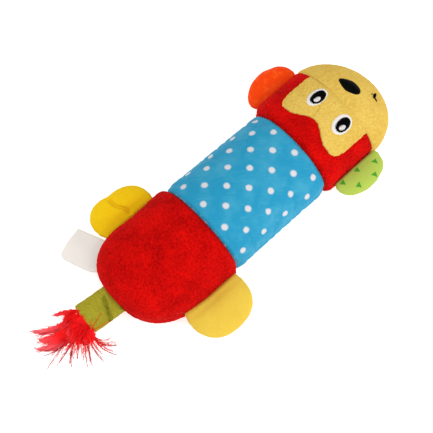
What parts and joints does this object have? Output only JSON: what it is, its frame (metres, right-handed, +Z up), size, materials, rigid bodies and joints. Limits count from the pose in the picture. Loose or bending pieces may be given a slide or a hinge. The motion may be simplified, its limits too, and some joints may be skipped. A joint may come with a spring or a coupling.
{
  "type": "squeaky plush dog toy",
  "caption": "Stuffed tube-bodied plush dog toy with an embroidered face, side ears, rear feet, a strap tail with a feather tuft, a sewn-in label and a squeaker to press.",
  "frame": {"origin": "on the surface that the toy lies on, under the middle of the blue band", "axes": "+X towards the muzzle, +Y to the toy's left, +Z up"},
  "size_m": [0.2928, 0.1259, 0.0598],
  "materials": {
    "red_plush": "short mottled red plush",
    "blue_cotton": "blue printed cotton with white dots",
    "yellow_plush": "pale yellow short-pile plush",
    "foot_velour": "bright yellow velour",
    "orange_satin": "orange satin weave",
    "green_cotton": "green cotton with darker triangles",
    "olive_plush": "olive short-pile plush",
    "red_feather": "dyed red down feathers",
    "white_satin": "white satin tape",
    "white_thread": "white embroidery thread",
    "black_thread": "black embroidery thread",
    "fibre_fill": "loose polyester fill",
    "squeaker_plastic": "natural blow-moulded polyethylene",
    "reed_plastic": "clear polyester film"
  },
  "bodies": {
    "stuffed_body": {"rear_top_panel": "red_plush", "rear_bottom_panel": "red_plush", "band_bottom_panel": "blue_cotton", "head_top_panel": "red_plush", "head_bottom_panel": "red_plush", "muzzle_top_panel": "yellow_plush", "muzzle_chin_panel": "yellow_plush", "face_patch": "yellow_plush", "left_eye_white": "white_thread", "left_eye_pupil": "black_thread", "left_eye_highlight": "white_thread", "right_eye_white": "white_thread", "right_eye_pupil": "black_thread", "right_eye_highlight": "white_thread", "nose": "black_thread", "mouth_stitch": "black_thread", "squeaker_bulb": "squeaker_plastic", "squeaker_plug": "squeaker_plastic", "rear_stuffing": "fibre_fill", "head_stuffing": "fibre_fill", "band_lower_stuffing": "fibre_fill"},
    "squeeze_pad": {"band_top_panel": "blue_cotton", "band_upper_stuffing": "fibre_fill"},
    "left_ear": {"left_ear_front": "orange_satin", "left_ear_back": "orange_satin", "left_ear_wadding": "fibre_fill"},
    "right_ear": {"right_ear_front": "green_cotton", "right_ear_back": "green_cotton", "right_ear_wadding": "fibre_fill"},
    "left_foot": {"left_foot_top": "foot_velour", "left_foot_sole": "foot_velour", "left_foot_stuffing": "fibre_fill"},
    "right_foot": {"right_foot_top": "foot_velour", "right_foot_sole": "foot_velour", "right_foot_stuffing": "fibre_fill"},
    "tail": {"tail_strap": "olive_plush"},
    "tuft": {"tail_tuft": "red_feather"},
    "label": {"care_label": "white_satin"},
    "reed": {"squeaker_reed": "reed_plastic"}
  },
  "joints": [
    {"name": "squeeze", "type": "slide", "parent": "stuffed_body", "child": "squeeze_pad", "axis": [0, 0, -1], "range_m": [0, 0.014], "stiffness_N_per_m": 900, "springref_m": -0.001, "deforming": ["band_bottom_panel", "band_upper_stuffing", "band_lower_stuffing", "squeaker_bulb"]},
    {"name": "left_ear_flap", "type": "hinge", "parent": "stuffed_body", "child": "left_ear", "pos_m": [0.065, 0.0398, 0.0285], "axis": [1, 0, 0], "range_deg": [-60, 75], "stiffness_Nm_per_rad": 0.012},
    {"name": "right_ear_flap", "type": "hinge", "parent": "stuffed_body", "child": "right_ear", "pos_m": [0.066, -0.0398, 0.0285], "axis": [-1, 0, 0], "range_deg": [-60, 75], "stiffness_Nm_per_rad": 0.012},
    {"name": "left_foot_tilt", "type": "hinge", "parent": "stuffed_body", "child": "left_foot", "pos_m": [-0.0705, 0.0398, 0.0285], "axis": [1, 0, 0], "range_deg": [-35, 55], "stiffness_Nm_per_rad": 0.04},
    {"name": "right_foot_tilt", "type": "hinge", "parent": "stuffed_body", "child": "right_foot", "pos_m": [-0.0665, -0.0398, 0.0285], "axis": [-1, 0, 0], "range_deg": [-35, 55], "stiffness_Nm_per_rad": 0.04},
    {"name": "tail_lift", "type": "hinge", "parent": "stuffed_body", "child": "tail", "pos_m": [-0.1166, 0.00614, 0.0285], "axis": [0.0797, 0.9968, 0], "range_deg": [-60, 80], "stiffness_Nm_per_rad": 0.05},
    {"name": "tuft_swing", "type": "hinge", "parent": "tail", "child": "tuft", "pos_m": [-0.13952, 0.00798, 0.01921], "axis": [0.0797, 0.9968, 0], "range_deg": [-35, 45], "stiffness_Nm_per_rad": 0.02},
    {"name": "label_fold", "type": "hinge", "parent": "stuffed_body", "child": "label", "pos_m": [-0.10166, 0.03216, 0.0285], "axis": [0.8256, 0.5643, 0], "range_deg": [-55, 55], "stiffness_Nm_per_rad": 0.004},
    {"name": "reed_flutter", "type": "hinge", "parent": "stuffed_body", "child": "reed", "pos_m": [-0.0003, 0, 0.018], "axis": [0, 1, 0], "range_deg": [0, 10], "stiffness_Nm_per_rad": 0.0005}
  ]
}
